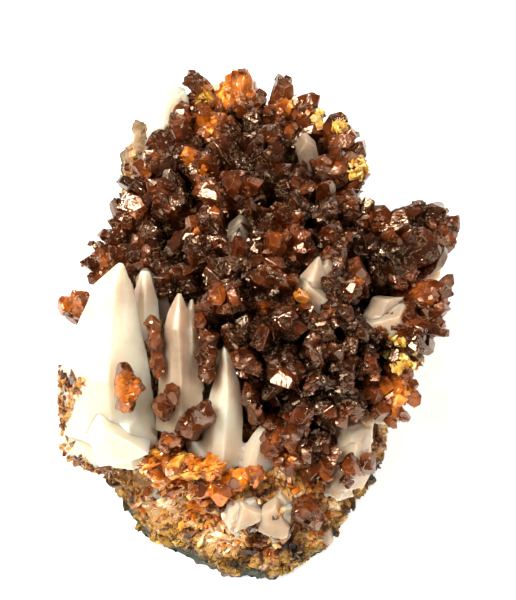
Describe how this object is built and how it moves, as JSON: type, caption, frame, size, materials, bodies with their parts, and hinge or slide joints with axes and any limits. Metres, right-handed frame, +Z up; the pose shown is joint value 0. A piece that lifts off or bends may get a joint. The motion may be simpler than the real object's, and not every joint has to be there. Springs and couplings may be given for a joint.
{
  "type": "orpiment and calcite specimen",
  "caption": "Cabinet mineral specimen: a druse of red-brown orpiment crystals with pale dog-tooth calcite spires on a plate of dark rock with a yellow crust.",
  "frame": {"origin": "on the flat back of the matrix, near the middle of its outline, at the level of the table", "axes": "+Z up from the table through the crystals, +Y along the length towards the orpiment's upper edge, +X to the right as seen from the calcite's end"},
  "size_m": [0.081, 0.1031, 0.0467],
  "materials": {
    "matrix_rock": "dark green-black broken rock with an earthy yellow and brown crust, matt",
    "calcite": "milky, translucent, smooth faces with fine growth lines",
    "orpiment": "glassy to resinous crystal faces, deep red-brown with orange where light passes through"
  },
  "bodies": {
    "root": {"matrix": "matrix_rock", "calcite_great_spire": "calcite", "calcite_spires": "calcite", "calcite_tooth_upper": "calcite", "calcite_tooth_middle": "calcite", "calcite_tooth_left": "calcite", "calcite_block_right": "calcite", "calcite_edge_right": "calcite", "calcite_block_lower": "calcite", "calcite_block_front": "calcite", "calcite_corner": "calcite", "orpiment_mass": "orpiment", "orpiment_shoulder": "orpiment", "orpiment_stack": "orpiment", "orpiment_twin": "orpiment", "orpiment_pair": "orpiment", "orpiment_beads": "orpiment", "orpiment_pendant": "orpiment", "orpiment_drops": "orpiment", "orpiment_cuff": "orpiment", "orpiment_ledge": "orpiment", "orpiment_lower_right": "orpiment", "orpiment_front": "orpiment"}
  },
  "joints": []
}
